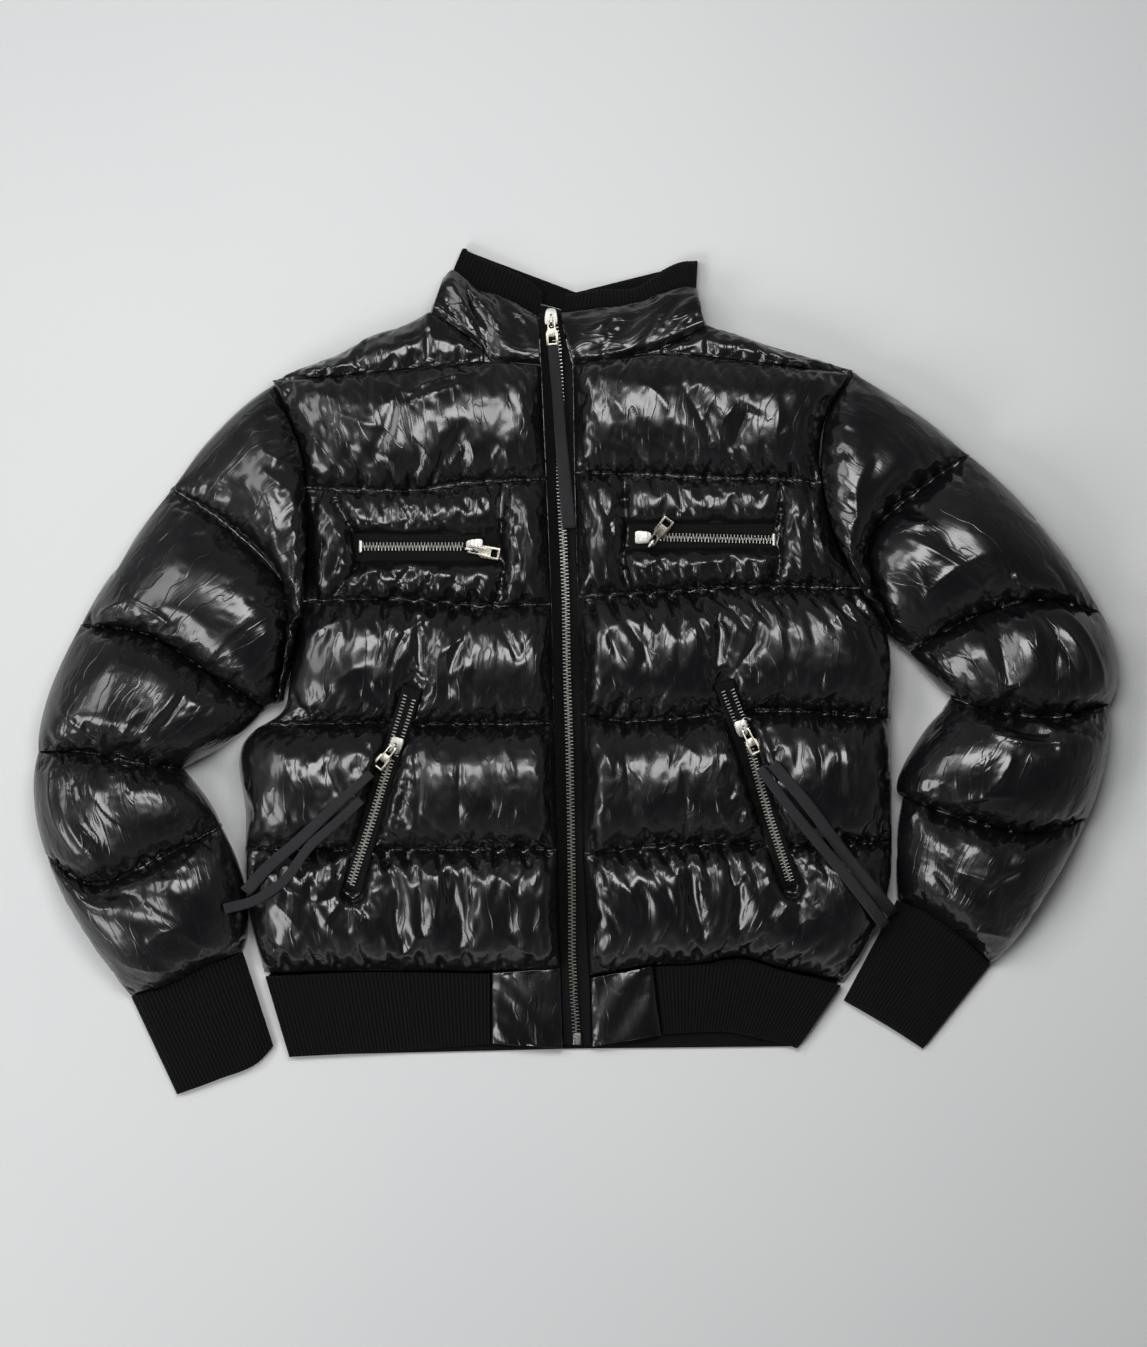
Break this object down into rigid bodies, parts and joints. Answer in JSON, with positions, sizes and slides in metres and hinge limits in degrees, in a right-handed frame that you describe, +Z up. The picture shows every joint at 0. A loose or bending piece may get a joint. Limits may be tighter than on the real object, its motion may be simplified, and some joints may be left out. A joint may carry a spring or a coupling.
{
  "type": "puffer jacket, zipped up and laid flat",
  "caption": "Cropped puffer jacket lying flat, zipped up, with ribbed collar, cuffs and hem, zip chest pockets and slanted hand pockets.",
  "frame": {"origin": "middle of the jacket's outline on the floor", "axes": "+X from the wearer's right sleeve to the left sleeve, across the jacket; +Y from the hem to the collar; +Z up from the floor"},
  "size_m": [0.9562, 0.7505, 0.0716],
  "materials": {
    "coated_nylon": "glossy wet-look coating on black nylon",
    "rib_knit": "matte black ribbed knit",
    "zip_tape": "matte black woven tape",
    "zip_metal": "polished nickel",
    "pull_metal": "brushed champagne nickel",
    "grosgrain": "matte dark grey ribbed ribbon"
  },
  "bodies": {
    "jacket": {"back": "coated_nylon", "front_left": "coated_nylon", "front_right": "coated_nylon", "yoke_left": "coated_nylon", "yoke_right": "coated_nylon", "sleeve_left": "coated_nylon", "sleeve_right": "coated_nylon", "hem_tab_left": "coated_nylon", "hem_tab_right": "coated_nylon", "collar_shell": "coated_nylon", "cuff_left": "rib_knit", "cuff_right": "rib_knit", "hem_rib": "rib_knit", "collar_rib": "rib_knit", "zip_tape_left": "zip_tape", "zip_tape_right": "zip_tape", "chest_tape_left": "zip_tape", "chest_tape_right": "zip_tape", "hand_tape_left": "zip_tape", "hand_tape_right": "zip_tape", "zip_teeth": "zip_metal", "zip_slider": "zip_metal", "chest_teeth_left": "zip_metal", "chest_teeth_right": "zip_metal", "chest_slider_left": "zip_metal", "chest_slider_right": "zip_metal", "hand_teeth_left": "zip_metal", "hand_teeth_right": "zip_metal", "hand_slider_left": "zip_metal", "hand_slider_right": "zip_metal", "zip_pull": "pull_metal", "hand_pull_left": "pull_metal", "hand_pull_right": "pull_metal", "ribbon_main": "grosgrain", "ribbon_left_a": "grosgrain", "ribbon_left_b": "grosgrain", "ribbon_right_a": "grosgrain", "ribbon_right_b": "grosgrain"},
    "pull_left": {"chest_pull_left": "pull_metal"},
    "pull_right": {"chest_pull_right": "pull_metal"}
  },
  "joints": [
    {"name": "chest_pull_left_swing", "type": "hinge", "parent": "jacket", "child": "pull_left", "pos_m": [-0.0935, 0.108, 0.0436], "axis": [-0.1738, -0.9848, 0], "range_deg": [0, 150]},
    {"name": "chest_pull_right_swing", "type": "hinge", "parent": "jacket", "child": "pull_right", "pos_m": [0.066, 0.113, 0.0436], "axis": [0.8, -0.6, 0], "range_deg": [0, 120]}
  ]
}
